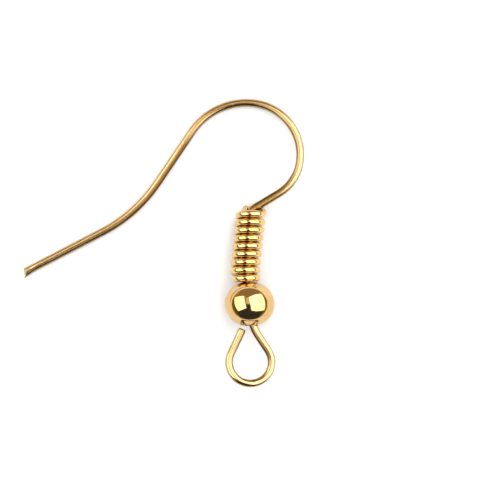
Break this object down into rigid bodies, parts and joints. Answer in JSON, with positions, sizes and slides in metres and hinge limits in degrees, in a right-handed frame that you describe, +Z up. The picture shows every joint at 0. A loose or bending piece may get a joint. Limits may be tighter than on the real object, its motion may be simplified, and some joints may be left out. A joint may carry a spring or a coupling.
{
  "type": "ear wire",
  "caption": "French hook ear wire with a wound coil and a loose hollow bead above an open eye for a drop.",
  "frame": {"origin": "middle of the outline seen from above, on the surface that the ear wire lies on", "axes": "+Z up from that surface, +Y towards the crown of the hook, +X towards the front, away from the tail"},
  "size_m": [0.0175, 0.0179, 0.0031],
  "materials": {
    "wire": "bright gold plate over drawn wire",
    "coil": "bright gold plate over fine wire",
    "bead": "mirror-polished gold plate"
  },
  "bodies": {
    "hook": {"ear_hook": "wire", "coil": "coil"},
    "bead": {"bead": "bead"}
  },
  "joints": [
    {"name": "bead_spin", "type": "hinge", "parent": "hook", "child": "bead", "pos_m": [0.00534, -0.00377, 0.00155], "axis": [0.0036, 0.9958, -0.0919], "continuous": true}
  ]
}
